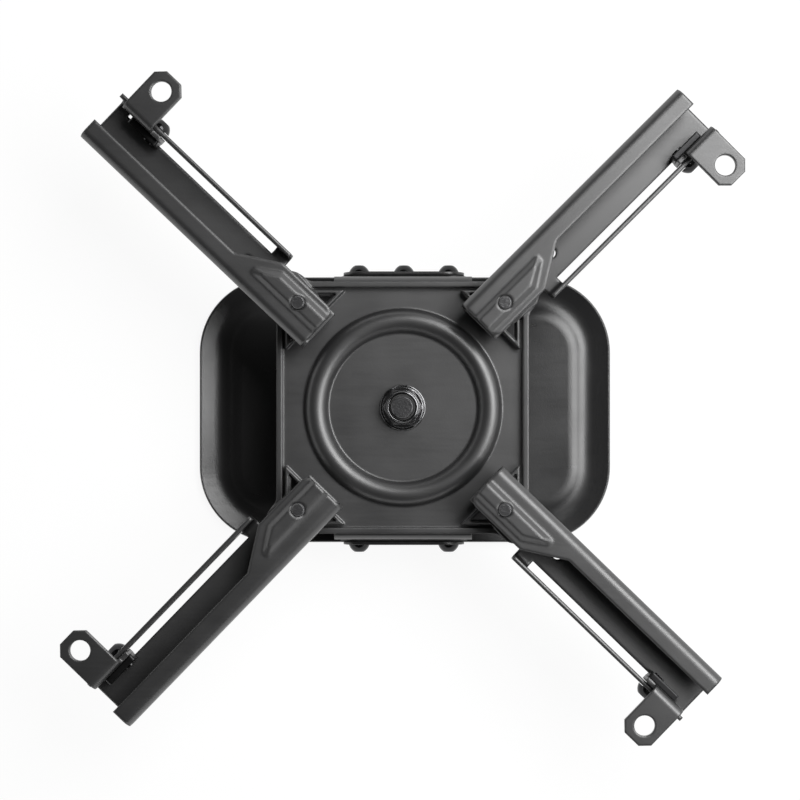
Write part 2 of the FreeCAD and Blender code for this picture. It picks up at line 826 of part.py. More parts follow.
def rail_slot():
    """Long slot in an arm's rail that the foot's screw slides in."""
    half_width = screw_radius + hole_gap
    last = foot_screw_reach - arm_inner_reach
    first = last - foot_travel
    slot = slot_along_x(first, last, half_width, -SPARE, SPARE, 0)
    slot.rotate(ORIGIN, AXIS_X, 90)
    return slot.translated(Vector(0, rail_inner_face - arm_sheet / 2, rail_screw_height))


def arm_pivot_bolt():
    """Hex bolt from under the corner pad, its end just proud of the arm's pad."""
    seat = pad_top - pan_sheet - face_gap
    head = hexagon(pivot_bolt_flats, seat - pivot_bolt_head, seat)
    top = pad_top_of_arm + pivot_bolt_proud
    return head.fuse(shank(pivot_bolt_radius, seat, top, pivot_bolt_chamfer)).removeSplitter()


def arm_spacer():
    """Threaded sleeve between the arm's web and its pad."""
    bottom = arm_bottom + arm_sheet
    return tube(pivot_bolt_radius + thread_gap, spacer_radius, bottom, arm_bottom + arm_depth - arm_sheet)


def arm_friction_washer():
    """Nylon washer between the corner pad and the arm."""
    bottom = arm_bottom - arm_washer_sheet
    return tube(pivot_bolt_radius + thread_gap, arm_washer_radius, bottom, arm_bottom)


def foot():
    """L-shaped tab: a leg inside the rail and a foot that reaches out over it."""
    first = foot_screw_reach - foot_leg_extra - arm_inner_reach
    last = foot_center + foot_width / 2 - arm_inner_reach
    leg_middle = leg_face + foot_sheet / 2
    tip = arm_left_reach - foot_reach
    level = foot_top - foot_sheet / 2
    path = [(leg_middle, foot_leg_bottom), (leg_middle, level), (tip, level)]
    tab = folded_sheet(path, foot_bend, foot_sheet, first, last)
    inner_side = foot_screw_reach - arm_inner_reach
    leg_end = rail_slot_end - arm_inner_reach - slide_gap
    across = (tip - SPARE, arm_left_reach)
    shoulders = [
        box((first - SPARE, inner_side), across, (foot_leg_shoulder, foot_top + SPARE)),
        box((leg_end, last + SPARE), across, (foot_leg_bottom - SPARE, foot_leg_shoulder)),
    ]
    chamfers = []
    for x, inward in ((inner_side, 1), (last, -1)):
        corner = [(x, tip), (x + inward * foot_chamfer, tip), (x, tip + foot_chamfer)]
        chamfers.append(prism(corner, foot_leg_shoulder, foot_top + SPARE))
    x, y = on_arm(foot_center, foot_hole_reach)
    hole = cylinder(foot_hole_radius, foot_leg_shoulder, foot_top + SPARE, x, y)
    return tab.cut(shoulders + chamfers + [hole, foot_screw_hole(hole_gap)])


def foot_screw_hole(gap):
    """Bar along the foot's screw, wider than its shank by a gap."""
    start = Vector(foot_screw_reach - arm_inner_reach, -arm_width, rail_screw_height)
    return Part.makeCylinder(screw_radius + gap, 2 * arm_width, start, AXIS_Y)


def foot_screw():
    """Button-head screw outside the rail, into the clamp bar."""
    seat = rail_inner_face - arm_sheet - slide_gap
    length = clamp_face + clamp_sheet + screw_end - seat
    position = Vector(foot_screw_reach - arm_inner_reach, seat, rail_screw_height)
    return aimed(button_screw(length), position, -AXIS_Y)


def foot_clamp_bar():
    """Threaded bar against the inside of the foot's leg."""
    first = foot_screw_reach - arm_inner_reach - foot_leg_extra
    last = first + clamp_length
    corners = [(first, clamp_bottom), (last, clamp_bottom), (last, clamp_top), (first, clamp_top)]
    wire = rounded_polygon([Vector(x, clamp_face, z) for x, z in corners], clamp_corner)
    bar = Part.Face(wire).extrude(AXIS_Y * clamp_sheet)
    return bar.cut(foot_screw_hole(thread_gap))


def main():
    pieces = {
        "ceiling_plate": ceiling_plate(),
        "tilt_bracket": tilt_bracket(),
        "tilt_friction_plates": tilt_friction_plates(),
        "tilt_pivot_screw": tilt_screw(0, 1),
        "tilt_pivot_pin": tilt_pivot_pin(),
        "tilt_lock_screws": tilt_lock_screws(),
        "tilt_nuts": tilt_nuts(),
        "swivel_bolt": swivel_bolt(),
        "swivel_friction_washer": swivel_friction_washer(),
        "swivel_nut": swivel_nut(),
        "swivel_nut_insert": swivel_nut_insert(),
        "swivel_plate": swivel_plate(),
    }
    lift = AXIS_Z * arm_bottom
    on_arms = {
        "arm": arm().translated(lift),
        "arm_pivot_bolt": arm_pivot_bolt(),
        "arm_spacer": arm_spacer(),
        "arm_friction_washer": arm_friction_washer(),
    }
    on_feet = {
        "foot": foot().translated(lift),
        "foot_screw": foot_screw().translated(lift),
        "foot_clamp_bar": foot_clamp_bar().translated(lift),
    }
    for index in range(CORNERS):
        slide = AXIS_X * -foot_slides[index]
        slid = {name: shape.translated(slide) for name, shape in on_feet.items()}
        for name, shape in {**on_arms, **slid}.items():
            pieces[f"{name}_{index + 1}"] = at_corner(shape, index, arm_swings[index])
    for name, shape in pieces.items():
        shape.exportStep(f"parts/{name}.step")


main()
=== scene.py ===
"""Finishes, threaded bolts, a rolled lock nut and a studio stage for a ceiling projector mount."""

import math

import bpy
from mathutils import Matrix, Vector


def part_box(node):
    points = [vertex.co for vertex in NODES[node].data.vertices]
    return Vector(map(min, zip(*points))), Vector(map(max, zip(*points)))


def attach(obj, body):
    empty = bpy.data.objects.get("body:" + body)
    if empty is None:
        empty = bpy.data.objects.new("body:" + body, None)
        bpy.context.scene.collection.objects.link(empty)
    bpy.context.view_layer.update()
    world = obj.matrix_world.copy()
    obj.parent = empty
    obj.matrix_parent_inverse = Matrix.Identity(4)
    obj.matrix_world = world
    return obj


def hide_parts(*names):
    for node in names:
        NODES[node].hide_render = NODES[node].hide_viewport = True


bl_info = {
    "name": "Projector Mount Finishes",
    "version": (1, 0, 0),
    "blender": (4, 5, 0),
    "location": "View3D > Sidebar > Mount",
    "description": "Coats a ceiling projector mount, shapes its bolts and nut, and stages it",
    "category": "Object",
}

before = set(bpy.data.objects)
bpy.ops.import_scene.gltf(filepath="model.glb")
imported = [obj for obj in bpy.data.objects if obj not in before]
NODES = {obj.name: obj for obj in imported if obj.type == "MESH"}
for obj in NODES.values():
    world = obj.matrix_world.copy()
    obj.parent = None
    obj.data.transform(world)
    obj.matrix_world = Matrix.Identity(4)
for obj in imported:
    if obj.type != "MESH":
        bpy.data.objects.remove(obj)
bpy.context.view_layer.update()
ARMS = (1, 2, 3, 4)
MM = 0.001


def per_arm(stem):
    """Names of the nodes that each arm has one of."""
    return [f"{stem}_{index}" for index in ARMS]


SATIN_NODES = ["tilt_bracket", "swivel_plate"]
ARM_NODES = per_arm("arm")
FOOT_NODES = per_arm("foot")
TEXTURED_NODES = ["ceiling_plate"]
HARDWARE_NODES = ["tilt_pivot_pin", "tilt_nuts", *per_arm("arm_spacer")]
SCREW_NODES = ["tilt_pivot_screw", "tilt_lock_screws", *per_arm("foot_screw")]
BAR_NODES = per_arm("foot_clamp_bar")
NYLON_NODES = ["tilt_friction_plates", "swivel_friction_washer", "swivel_nut_insert"]
NYLON_NODES += per_arm("arm_friction_washer")

# Colours where edges are rubbed
FOLD_WORN = (0.04, 0.04, 0.041)
PLATING_WORN = (0.2, 0.2, 0.205)
# The nut's rubbed colour is also lifted as a painted sheen, on top of its wear
NUT_WORN_PAINTED_SHEEN = (0.3, 0.3, 0.305)
NYLON_WORN = (0.04, 0.04, 0.04)

SURFACE_IOR = 1.65
RUB_STRENGTH = 0.6
GRAINS_PER_DEPTH = 8
BEVEL_SAMPLES = 8

# Bolts, in metres: shank radius, thread depth, end chamfer, head height, width across flats
SWIVEL_BOLT = {"radius": 0.005, "depth": 0.0008, "chamfer": 0.0006, "head": 0.0064, "flats": 0.017}
PIVOT_BOLT = {"radius": 0.003, "depth": 0.0005, "chamfer": 0.0006, "head": 0.004, "flats": 0.010}
THREAD_SIDES, THREAD_ROWS = 64, 240
THREAD_FACET_AREA = 1e-6

# Top of the lock nut's flange, in millimetres: inward from its rim, upward from its foot
FLANGE_TOP = (
    (0.68, 1.03),
    (0.8, 0.88),
    (0.9, 0.82),
    (1.0, 0.84),
    (1.12, 0.96),
    (1.25, 1.1),
    (1.4, 1.16),
)
# Lip of the lock nut's collar, in millimetres: inward from the collar, downward from the top
COLLAR_LIP = ((0.85, 0.03), (1.0, 0.12), (1.15, 0.26))
NUT_SIDES = 144
NUT_SHARP_ANGLE = math.radians(18)

LAMP_TARGET = (0, 0, 0.05)
SENSOR_WIDTH = 36


class MountCoat(bpy.types.PropertyGroup):
    """Powder coat on the folded and pressed steel"""

    color: bpy.props.FloatVectorProperty(
        name="Coat Colour", description="Colour of the powder coat", subtype="COLOR", size=3,
        default=(0.028, 0.028, 0.0285), min=0, max=1)
    textured_color: bpy.props.FloatVectorProperty(
        name="Textured Colour", description="Colour of the ceiling plate's coat",
        subtype="COLOR", size=3, default=(0.019, 0.019, 0.0195), min=0, max=1)
    worn_color: bpy.props.FloatVectorProperty(
        name="Rubbed Colour", description="Colour of the coat where edges are rubbed",
        subtype="COLOR", size=3, default=(0.075, 0.075, 0.077), min=0, max=1)
    roughness: bpy.props.FloatProperty(
        name="Satin Roughness", description="Roughness of the smooth satin coat",
        subtype="FACTOR", default=0.39, min=0, max=1)
    textured_roughness: bpy.props.FloatProperty(
        name="Textured Roughness", description="Roughness of the ceiling plate's textured coat",
        subtype="FACTOR", default=0.32, min=0, max=1)
    grain: bpy.props.FloatProperty(
        name="Grain Size", description="Size of the ripples in the satin coat", unit="LENGTH",
        default=0.0009, min=0.0001, max=0.01, precision=5)
    textured_grain: bpy.props.FloatProperty(
        name="Texture Size", description="Size of the grains in the textured coat", unit="LENGTH",
        default=0.0007, min=0.0001, max=0.01, precision=5)
    edge: bpy.props.FloatProperty(
        name="Edge Round", description="Radius that the coat gives to sheet edges", unit="LENGTH",
        default=0.0012, min=0, max=0.005, precision=5)
    arm_edge: bpy.props.FloatProperty(
        name="Arm Edge", description="Radius of the pressed forms and folds of the arms",
        unit="LENGTH", default=0.002, min=0, max=0.005, precision=5)
    foot_edge: bpy.props.FloatProperty(
        name="Foot Edge", description="Radius of the fold and edges of the feet", unit="LENGTH",
        default=0.0013, min=0, max=0.005, precision=5)


class MountHardware(bpy.types.PropertyGroup):
    """Plated bolts, nuts and screws, and the nylon between the sheets"""

    color: bpy.props.FloatVectorProperty(
        name="Plating Colour", description="Colour of the black plating", subtype="COLOR", size=3,
        default=(0.1, 0.1, 0.103), min=0, max=1)
    roughness: bpy.props.FloatProperty(
        name="Plating Roughness", description="Roughness of the plating", subtype="FACTOR",
        default=0.26, min=0, max=1)
    # The nut's plating is painted lighter than the other plating: a painted sheen that brightens
    # its reflections
    nut_color_painted_sheen: bpy.props.FloatVectorProperty(
        name="Nut Plating Colour with Painted Sheen", description="Colour of the plating on the lock nut",
        subtype="COLOR", size=3, default=(0.24, 0.24, 0.245), min=0, max=1)
    # Screws and clamp bars get a darker copy of the plating: painted shade that keeps their
    # reflections of the white ground dim
    screw_color_painted_shade: bpy.props.FloatVectorProperty(
        name="Screw Colour with Painted Shade", description="Colour of the plating on screws and clamp bars",
        subtype="COLOR", size=3, default=(0.045, 0.045, 0.046), min=0, max=1)
    metallic: bpy.props.FloatProperty(
        name="Plating Metal", description="How much bare metal shows through the plating",
        subtype="FACTOR", default=0.6, min=0, max=1)
    nylon_color: bpy.props.FloatVectorProperty(
        name="Nylon Colour", description="Colour of the nylon washers", subtype="COLOR", size=3,
        default=(0.018, 0.018, 0.018), min=0, max=1)
    nut_flats: bpy.props.FloatProperty(
        name="Nut Flats", description="Width of the lock nut across its flats", unit="LENGTH",
        default=0.015, min=0.005, max=0.016, precision=5)
    nut_flange: bpy.props.FloatProperty(
        name="Nut Flange", description="Radius of the lock nut's flange", unit="LENGTH",
        default=0.0103, min=0.0095, max=0.012, precision=5)
    nut_collar: bpy.props.FloatProperty(
        name="Nut Collar", description="Radius of the lock nut's collar", unit="LENGTH",
        default=0.0071, min=0.0066, max=0.0073, precision=5)
    swivel_pitch: bpy.props.FloatProperty(
        name="Swivel Bolt Pitch", description="Thread pitch of the swivel bolt", unit="LENGTH",
        default=0.0015, min=0.0003, max=0.004, precision=5)
    pivot_pitch: bpy.props.FloatProperty(
        name="Pivot Bolt Pitch", description="Thread pitch of the arm pivot bolts", unit="LENGTH",
        default=0.001, min=0.0003, max=0.004, precision=5)


class MountStage(bpy.types.PropertyGroup):
    """Camera, softboxes and white cyclorama"""

    camera_place: bpy.props.FloatVectorProperty(
        name="Camera Place", description="Where the camera stands", subtype="TRANSLATION", size=3,
        default=(0.0184, -0.0198, 0.889))
    camera_shift: bpy.props.FloatVectorProperty(
        name="Camera Shift", description="Sideways and upward lens shift", size=2,
        default=(-0.055, 0.0648))
    camera_lens: bpy.props.FloatProperty(
        name="Lens", description="Focal length on a 36 mm sensor, in millimetres",
        default=84.8, min=10, max=300)
    key_place: bpy.props.FloatVectorProperty(
        name="Key Place", description="Where the key softbox hangs", subtype="TRANSLATION", size=3,
        default=(0.44, 0.41, 0.849))
    key_size: bpy.props.FloatProperty(
        name="Key Size", description="Side of the key softbox", unit="LENGTH",
        default=0.62, min=0.05, max=5)
    key_power: bpy.props.FloatProperty(
        name="Key Power", description="Power of the key softbox, in watts",
        default=7.6, min=0, max=1000)
    side_place: bpy.props.FloatVectorProperty(
        name="Side Place", description="Where the side softbox hangs", subtype="TRANSLATION",
        size=3, default=(0.64, -0.056, 0.816))
    side_size: bpy.props.FloatProperty(
        name="Side Size", description="Side of the side softbox", unit="LENGTH",
        default=0.5, min=0.05, max=5)
    side_power: bpy.props.FloatProperty(
        name="Side Power", description="Power of the side softbox, in watts",
        default=4.4, min=0, max=1000)
    fill_level: bpy.props.FloatProperty(
        name="Fill", description="Level of the even light from all round",
        default=0.035, min=0, max=10)
    ground_color: bpy.props.FloatVectorProperty(
        name="Ground Colour", description="Colour of the cyclorama", subtype="COLOR", size=3,
        default=(0.12, 0.12, 0.12), min=0, max=1)
    ground_glow: bpy.props.FloatProperty(
        name="Ground Glow", description="White that camera and reflections see on the cyclorama",
        default=0.92, min=0, max=1)


def group_tree(name, inputs, outputs):
    """Empty shader node group with the given sockets."""
    tree = bpy.data.node_groups.new(name, "ShaderNodeTree")
    for label, value in inputs:
        socket = tree.interface.new_socket(
            name=label, in_out="INPUT", socket_type="NodeSocketFloat")
        socket.default_value = value
    for label, kind in outputs:
        tree.interface.new_socket(name=label, in_out="OUTPUT", socket_type=kind)
    return tree, tree.nodes.new("NodeGroupInput"), tree.nodes.new("NodeGroupOutput")


def feed(tree, value, socket):
    """Links a socket to an input, or sets the input to a number."""
    if isinstance(value, bpy.types.NodeSocket):
        tree.links.new(value, socket)
    else:
        socket.default_value = value


def math_node(tree, operation, first, second=None, clamp=False):
    """Math node whose inputs are sockets or numbers; returns its output."""
    node = tree.nodes.new("ShaderNodeMath")
    node.operation = operation
    node.use_clamp = clamp
    feed(tree, first, node.inputs[0])
    if second is not None:
        feed(tree, second, node.inputs[1])
    return node.outputs[0]


def noise_node(tree, scale, detail, stretch=None):
    """Noise over the piece's own coordinates; scale is a socket or a number per metre."""
    place = tree.nodes.new("ShaderNodeTexCoord").outputs["Object"]
    if stretch:
        mapping = tree.nodes.new("ShaderNodeMapping")
        mapping.inputs["Scale"].default_value = stretch
        tree.links.new(place, mapping.inputs["Vector"])
        place = mapping.outputs["Vector"]
    noise = tree.nodes.new("ShaderNodeTexNoise")
    noise.inputs["Detail"].default_value = detail
    tree.links.new(place, noise.inputs["Vector"])
    feed(tree, scale, noise.inputs["Scale"])
    return noise.outputs["Fac"]


def ranged(tree, value, low, high, new_low=0.0, new_high=1.0):
    """Map Range node from one span to another; returns its output."""
    node = tree.nodes.new("ShaderNodeMapRange")
    feed(tree, low, node.inputs["From Min"])
    feed(tree, high, node.inputs["From Max"])
    feed(tree, new_low, node.inputs["To Min"])
    feed(tree, new_high, node.inputs["To Max"])
    feed(tree, value, node.inputs["Value"])
    return node.outputs["Result"]


def rounded_edge_group():
    """Normal that rounds every sharp edge, and a mask of where the edges are rubbed."""
    tree, source, result = group_tree(
        "Rounded Edge", [("Radius", 0.0005)],
        [("Normal", "NodeSocketVector"), ("Rub", "NodeSocketFloat")])
    bevel = tree.nodes.new("ShaderNodeBevel")
    bevel.samples = BEVEL_SAMPLES
    tree.links.new(source.outputs["Radius"], bevel.inputs["Radius"])
    shape = tree.nodes.new("ShaderNodeNewGeometry")
    turn = tree.nodes.new("ShaderNodeVectorMath")
    turn.operation = "DOT_PRODUCT"
    tree.links.new(bevel.outputs["Normal"], turn.inputs[0])
    tree.links.new(shape.outputs["Normal"], turn.inputs[1])
    nearly_flat, fully_turned = 0.99, 0.8
    edge = ranged(tree, turn.outputs["Value"], nearly_flat, fully_turned)
    patch_scale, patch_detail, bare, covered = 260.0, 3.0, 0.42, 0.62
    patches = ranged(tree, noise_node(tree, patch_scale, patch_detail), bare, covered)
    tree.links.new(math_node(tree, "MULTIPLY", edge, patches, True), result.inputs["Rub"])
    tree.links.new(bevel.outputs["Normal"], result.inputs["Normal"])


def coat_ripple_group():
    """Height of the fine ripples that a baked powder coat has."""
    tree, source, result = group_tree(
        "Coat Ripple", [("Grain", 0.0009)], [("Height", "NodeSocketFloat")])
    fineness, fine_share = 3.1, 0.35
    scale = math_node(tree, "DIVIDE", 1.0, source.outputs["Grain"])
    coarse = noise_node(tree, scale, 2.0)
    fine = noise_node(tree, math_node(tree, "MULTIPLY", scale, fineness), 1.0)
    height = math_node(tree, "ADD", coarse, math_node(tree, "MULTIPLY", fine, fine_share))
    tree.links.new(height, result.inputs["Height"])


def handling_group():
    """Slow cloudiness and faint drawn streaks that vary a surface's gloss."""
    tree, source, result = group_tree(
        "Handling", [("Cloud", 45.0)], [("Gloss", "NodeSocketFloat")])
    streak_scale, streak_stretch = 60.0, (1.0, 14.0, 3.0)
    cloud_share, streak_share = 0.7, 0.3
    cloud = noise_node(tree, source.outputs["Cloud"], 4.0)
    streak = noise_node(tree, streak_scale, 2.0, streak_stretch)
    cloud = math_node(tree, "MULTIPLY", cloud, cloud_share)
    streak = math_node(tree, "MULTIPLY", streak, streak_share)
    mixed = math_node(tree, "ADD", cloud, streak)
    tree.links.new(ranged(tree, mixed, 0.3, 0.7), result.inputs["Gloss"])


def placed_group(tree, group, values):
    """A node group in a material, with its own input values."""
    node = tree.nodes.new("ShaderNodeGroup")
    node.node_tree = bpy.data.node_groups[group]
    for label, value in values.items():
        node.inputs[label].default_value = value
    return node


def surface_material(name, color, worn, roughness, spread, edge, grain=None, bump=0.0,
                     metallic=0.0, specular=0.5):
    """Principled surface with rounded edges, uneven gloss and, given a grain, a rippled skin."""
    material = bpy.data.materials.new(name)
    material.use_nodes = True
    tree = material.node_tree
    shader = tree.nodes["Principled BSDF"]
    shader.inputs["Metallic"].default_value = metallic
    shader.inputs["Specular IOR Level"].default_value = specular
    shader.inputs["IOR"].default_value = SURFACE_IOR
    rounded = placed_group(tree, "Rounded Edge", {"Radius": edge})
    handling = placed_group(tree, "Handling", {})
    tint = tree.nodes.new("ShaderNodeMix")
    tint.data_type = "RGBA"
    tint.inputs["A"].default_value = (*color, 1)
    tint.inputs["B"].default_value = (*worn, 1)
    rub = math_node(tree, "MULTIPLY", rounded.outputs["Rub"], RUB_STRENGTH)
    tree.links.new(rub, tint.inputs["Factor"])
    tree.links.new(tint.outputs["Result"], shader.inputs["Base Color"])
    gloss = ranged(
        tree, handling.outputs["Gloss"], 0.0, 1.0, roughness - spread, roughness + spread)
    tree.links.new(gloss, shader.inputs["Roughness"])
    normal = rounded.outputs["Normal"]
    if grain:
        ripple = placed_group(tree, "Coat Ripple", {"Grain": grain})
        skin = tree.nodes.new("ShaderNodeBump")
        skin.inputs["Strength"].default_value = bump
        skin.inputs["Distance"].default_value = grain / GRAINS_PER_DEPTH
        tree.links.new(ripple.outputs["Height"], skin.inputs["Height"])
        tree.links.new(normal, skin.inputs["Normal"])
        normal = skin.outputs["Normal"]
    tree.links.new(normal, shader.inputs["Normal"])
    return material


def dress(names, material):
    """Gives CAD nodes a finish."""
    for name in names:
        NODES[name].data.materials.clear()
        NODES[name].data.materials.append(material)


class MOUNT_OT_coat(bpy.types.Operator):
    """Coat the ceiling plate, bracket, swivel plate, arms and feet"""

    bl_idname = "mount.coat"
    bl_label = "Coat the Steel"

    def execute(self, context):
        coat = context.scene.mount_coat
        for nodes, name, worn, edge in (
                (SATIN_NODES, "satin_powder_coat", coat.worn_color, coat.edge),
                (ARM_NODES, "arm_powder_coat", FOLD_WORN, coat.arm_edge),
                (FOOT_NODES, "foot_powder_coat", FOLD_WORN, coat.foot_edge)):
            dress(nodes, surface_material(
                name, coat.color, worn, coat.roughness, spread=0.05, edge=edge,
                grain=coat.grain, bump=0.12, specular=0.9))
        dress(TEXTURED_NODES, surface_material(
            "textured_powder_coat", coat.textured_color, coat.worn_color, coat.textured_roughness,
            spread=0.06, edge=coat.edge, grain=coat.textured_grain, bump=0.3, specular=0.55))
        return {"FINISHED"}


class MOUNT_OT_plate_hardware(bpy.types.Operator):
    """Plate the screws, nuts and clamp bars, and finish the nylon washers"""

    bl_idname = "mount.plate_hardware"
    bl_label = "Plate the Hardware"

    def execute(self, context):
        hardware = context.scene.mount_hardware
        polished, rolled = hardware.roughness - 0.08, hardware.roughness + 0.12
        plating = {
            "color": hardware.color, "worn": PLATING_WORN, "roughness": hardware.roughness,
            "spread": 0.05, "edge": 0.0003, "metallic": hardware.metallic, "specular": 0.8}
        dress(HARDWARE_NODES, surface_material("black_plating", grain=0.0012, bump=0.03, **plating))
        surface_material("bolt_plating", grain=0.0011, bump=0.9, **plating)
        # Lighter copy of the black plating for the lock nut: painted sheen
        surface_material(
            "nut_plating_painted_sheen", hardware.nut_color_painted_sheen, NUT_WORN_PAINTED_SHEEN, polished,
            spread=0.04, edge=0.0002, metallic=1.0)
        # Screws and clamp bars take a darker copy of the plating: painted shade
        dress(SCREW_NODES, surface_material(
            "screw_plating_painted_shade", hardware.screw_color_painted_shade, hardware.screw_color_painted_shade, polished,
            spread=0.04, edge=0.0002, metallic=1.0))
        dress(BAR_NODES, surface_material(
            "rolled_bar_plating_painted_shade", hardware.screw_color_painted_shade, hardware.screw_color_painted_shade, rolled,
            spread=0.05, edge=0.0012, metallic=1.0))
        dress(NYLON_NODES, surface_material(
            "dull_nylon", hardware.nylon_color, NYLON_WORN, roughness=0.52,
            spread=0.05, edge=0.0002, grain=0.0006, bump=0.2))
        return {"FINISHED"}


def bolt_tree():
    """Geometry nodes for a hex bolt with a true screw thread, drawn along Z."""
    tree = bpy.data.node_groups.new("Threaded Bolt", "GeometryNodeTree")
    lengths = ["Radius", "Pitch", "Depth", "Chamfer", "Head Bottom", "Seat", "End", "Flats"]
    tree.interface.new_socket(name="Place", in_out="INPUT", socket_type="NodeSocketVector")
    for label in lengths:
        tree.interface.new_socket(name=label, in_out="INPUT", socket_type="NodeSocketFloat")
    tree.interface.new_socket(name="Finish", in_out="INPUT", socket_type="NodeSocketMaterial")
    tree.interface.new_socket(name="Geometry", in_out="OUTPUT", socket_type="NodeSocketGeometry")
    source = tree.nodes.new("NodeGroupInput").outputs
    result = tree.nodes.new("NodeGroupOutput")
    link = tree.links.new

    def vector(x, y, z):
        node = tree.nodes.new("ShaderNodeCombineXYZ")
        for index, value in enumerate((x, y, z)):
            feed(tree, value, node.inputs[index])
        return node.outputs[0]

    # Shank: a flat sheet rolled up, with the thread's groove and the end's chamfer in its radius
    sheet = tree.nodes.new("GeometryNodeMeshGrid")
    sheet.inputs["Size X"].default_value = 1
    sheet.inputs["Size Y"].default_value = 1
    sheet.inputs["Vertices X"].default_value = THREAD_SIDES + 1
    sheet.inputs["Vertices Y"].default_value = THREAD_ROWS + 1
    spot = tree.nodes.new("ShaderNodeSeparateXYZ")
    link(tree.nodes.new("GeometryNodeInputPosition").outputs[0], spot.inputs[0])
    turn = math_node(tree, "ADD", spot.outputs["X"], 0.5)
    angle = math_node(tree, "MULTIPLY", turn, 2 * math.pi)
    height = ranged(tree, spot.outputs["Y"], -0.5, 0.5, source["Seat"], source["End"])
    phase = math_node(tree, "SUBTRACT", math_node(tree, "DIVIDE", height, source["Pitch"]), turn)
    wave = math_node(tree, "PINGPONG", phase, 0.5)
    crest, root = 0.06, 0.44
    groove = ranged(tree, wave, crest, root, 0.0, source["Depth"])
    threaded = math_node(tree, "SUBTRACT", source["Radius"], groove)
    to_end = math_node(tree, "SUBTRACT", source["End"], height)
    end_radius = math_node(tree, "SUBTRACT", source["Radius"], source["Chamfer"])
    pointed = math_node(tree, "ADD", end_radius, to_end)
    radius = math_node(tree, "MINIMUM", threaded, pointed)
    across = math_node(tree, "MULTIPLY", radius, math_node(tree, "COSINE", angle))
    along = math_node(tree, "MULTIPLY", radius, math_node(tree, "SINE", angle))
    rolled = tree.nodes.new("GeometryNodeSetPosition")
    link(sheet.outputs["Mesh"], rolled.inputs["Geometry"])
    link(vector(across, along, height), rolled.inputs["Position"])
    closed = tree.nodes.new("GeometryNodeMergeByDistance")
    closed.inputs["Distance"].default_value = 1e-6
    link(rolled.outputs["Geometry"], closed.inputs["Geometry"])

    cap = tree.nodes.new("GeometryNodeMeshCircle")
    cap.fill_type = "NGON"
    cap.inputs["Vertices"].default_value = THREAD_SIDES
    link(end_radius, cap.inputs["Radius"])
    cap_place = tree.nodes.new("GeometryNodeTransform")
    link(cap.outputs["Mesh"], cap_place.inputs["Geometry"])
    link(vector(0, 0, source["End"]), cap_place.inputs["Translation"])

    head = tree.nodes.new("GeometryNodeMeshCylinder")
    head.inputs["Vertices"].default_value = 6
    link(math_node(tree, "DIVIDE", source["Flats"], math.sqrt(3)), head.inputs["Radius"])
    link(math_node(tree, "SUBTRACT", source["Seat"], source["Head Bottom"]), head.inputs["Depth"])
    head_place = tree.nodes.new("GeometryNodeTransform")
    link(head.outputs["Mesh"], head_place.inputs["Geometry"])
    both_ends = math_node(tree, "ADD", source["Seat"], source["Head Bottom"])
    middle = math_node(tree, "MULTIPLY", both_ends, 0.5)
    link(vector(0, 0, middle), head_place.inputs["Translation"])

    joined = tree.nodes.new("GeometryNodeJoinGeometry")
    for piece in (closed, cap_place, head_place):
        link(piece.outputs["Geometry"], joined.inputs["Geometry"])
    placed = tree.nodes.new("GeometryNodeTransform")
    link(joined.outputs["Geometry"], placed.inputs["Geometry"])
    link(source["Place"], placed.inputs["Translation"])
    real = tree.nodes.new("GeometryNodeRealizeInstances")
    link(placed.outputs["Geometry"], real.inputs["Geometry"])
    finished = tree.nodes.new("GeometryNodeSetMaterial")
    link(real.outputs["Geometry"], finished.inputs["Geometry"])
    link(source["Finish"], finished.inputs["Material"])
    link(finished.outputs["Geometry"], result.inputs["Geometry"])


def grown_mesh(name, tree, values):
    """Plain mesh object made by a geometry node tree with the given input values."""
    seed = bpy.data.objects.new(name, bpy.data.meshes.new(name))
    bpy.context.scene.collection.objects.link(seed)
    modifier = seed.modifiers.new("Shape", "NODES")
    modifier.node_group = tree
    for item in tree.interface.items_tree:
        if item.in_out == "INPUT" and item.name in values:
            modifier[item.identifier] = values[item.name]
    graph = bpy.context.evaluated_depsgraph_get()
    mesh = bpy.data.meshes.new_from_object(seed.evaluated_get(graph), depsgraph=graph)
    seed.modifiers.clear()
    seed.data = mesh
    if not mesh.polygons:
        raise RuntimeError(f"{name} came out empty")
    return seed


def threaded_bolt(node, body, pitch, radius, depth, chamfer, head, flats):
    """A bolt with a cut thread in place of a plain CAD bolt."""
    low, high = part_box(node)
    middle = (low + high) / 2
    piece = grown_mesh(f"{node}_threaded", bpy.data.node_groups["Threaded Bolt"], {
        "Place": (middle.x, middle.y, 0.0),
        "Radius": radius,
        "Pitch": pitch,
        "Depth": depth,
        "Chamfer": chamfer,
        "Head Bottom": low.z,
        "Seat": low.z + head,
        "End": high.z,
        "Flats": flats,
        "Finish": bpy.data.materials["bolt_plating"],
    })
    for polygon in piece.data.polygons:
        polygon.use_smooth = len(polygon.vertices) == 4 and polygon.area < THREAD_FACET_AREA
    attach(piece, body)
    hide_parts(node)


class MOUNT_OT_thread_bolts(bpy.types.Operator):
    """Make the swivel bolt and the arm pivot bolts with real threads"""

    bl_idname = "mount.thread_bolts"
    bl_label = "Thread the Bolts"

    def execute(self, context):
        hardware = context.scene.mount_hardware
        bolt_tree()
        threaded_bolt("swivel_bolt", "tilt_yoke", hardware.swivel_pitch, **SWIVEL_BOLT)
        for index in ARMS:
            threaded_bolt(
                f"arm_pivot_bolt_{index}", f"arm_{index}_body", hardware.pivot_pitch, **PIVOT_BOLT)
        return {"FINISHED"}


